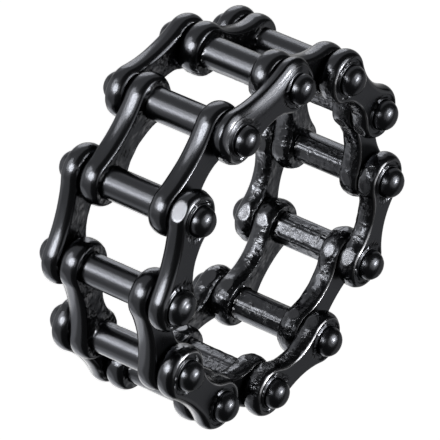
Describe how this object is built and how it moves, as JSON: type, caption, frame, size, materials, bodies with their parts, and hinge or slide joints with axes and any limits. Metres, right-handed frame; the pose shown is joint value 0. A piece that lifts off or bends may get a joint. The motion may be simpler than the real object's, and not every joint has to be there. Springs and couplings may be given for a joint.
{
  "type": "chain link ring",
  "caption": "Black plated steel finger ring in the form of a closed roller chain: waisted link plates in pairs, plain rollers between them and domed rivet heads.",
  "frame": {"origin": "on the ring's axis, in the plane that the rivet heads of one side stand on", "axes": "+Z along the ring's axis, up as it lies on its side; +X through the first pin, where an outer plate starts"},
  "size_m": [0.0274, 0.0274, 0.0124],
  "materials": {
    "plates": "black plated, polished rims, satin faces, as cast on the finger side",
    "rollers": "black plated, polished, as cast on the finger side",
    "rivets": "black plated, polished"
  },
  "bodies": {
    "root": {"outer_plate_top_1": "plates", "outer_plate_bottom_1": "plates", "outer_plate_top_2": "plates", "outer_plate_bottom_2": "plates", "outer_plate_top_3": "plates", "outer_plate_bottom_3": "plates", "outer_plate_top_4": "plates", "outer_plate_bottom_4": "plates", "outer_plate_top_5": "plates", "outer_plate_bottom_5": "plates", "outer_plate_top_6": "plates", "outer_plate_bottom_6": "plates", "inner_plate_top_1": "plates", "inner_plate_bottom_1": "plates", "inner_plate_top_2": "plates", "inner_plate_bottom_2": "plates", "inner_plate_top_3": "plates", "inner_plate_bottom_3": "plates", "inner_plate_top_4": "plates", "inner_plate_bottom_4": "plates", "inner_plate_top_5": "plates", "inner_plate_bottom_5": "plates", "inner_plate_top_6": "plates", "inner_plate_bottom_6": "plates", "roller_1": "rollers", "roller_2": "rollers", "roller_3": "rollers", "roller_4": "rollers", "roller_5": "rollers", "roller_6": "rollers", "roller_7": "rollers", "roller_8": "rollers", "roller_9": "rollers", "roller_10": "rollers", "roller_11": "rollers", "roller_12": "rollers", "rivet_pin_1": "rivets", "rivet_pin_2": "rivets", "rivet_pin_3": "rivets", "rivet_pin_4": "rivets", "rivet_pin_5": "rivets", "rivet_pin_6": "rivets", "rivet_pin_7": "rivets", "rivet_pin_8": "rivets", "rivet_pin_9": "rivets", "rivet_pin_10": "rivets", "rivet_pin_11": "rivets", "rivet_pin_12": "rivets"}
  },
  "joints": []
}
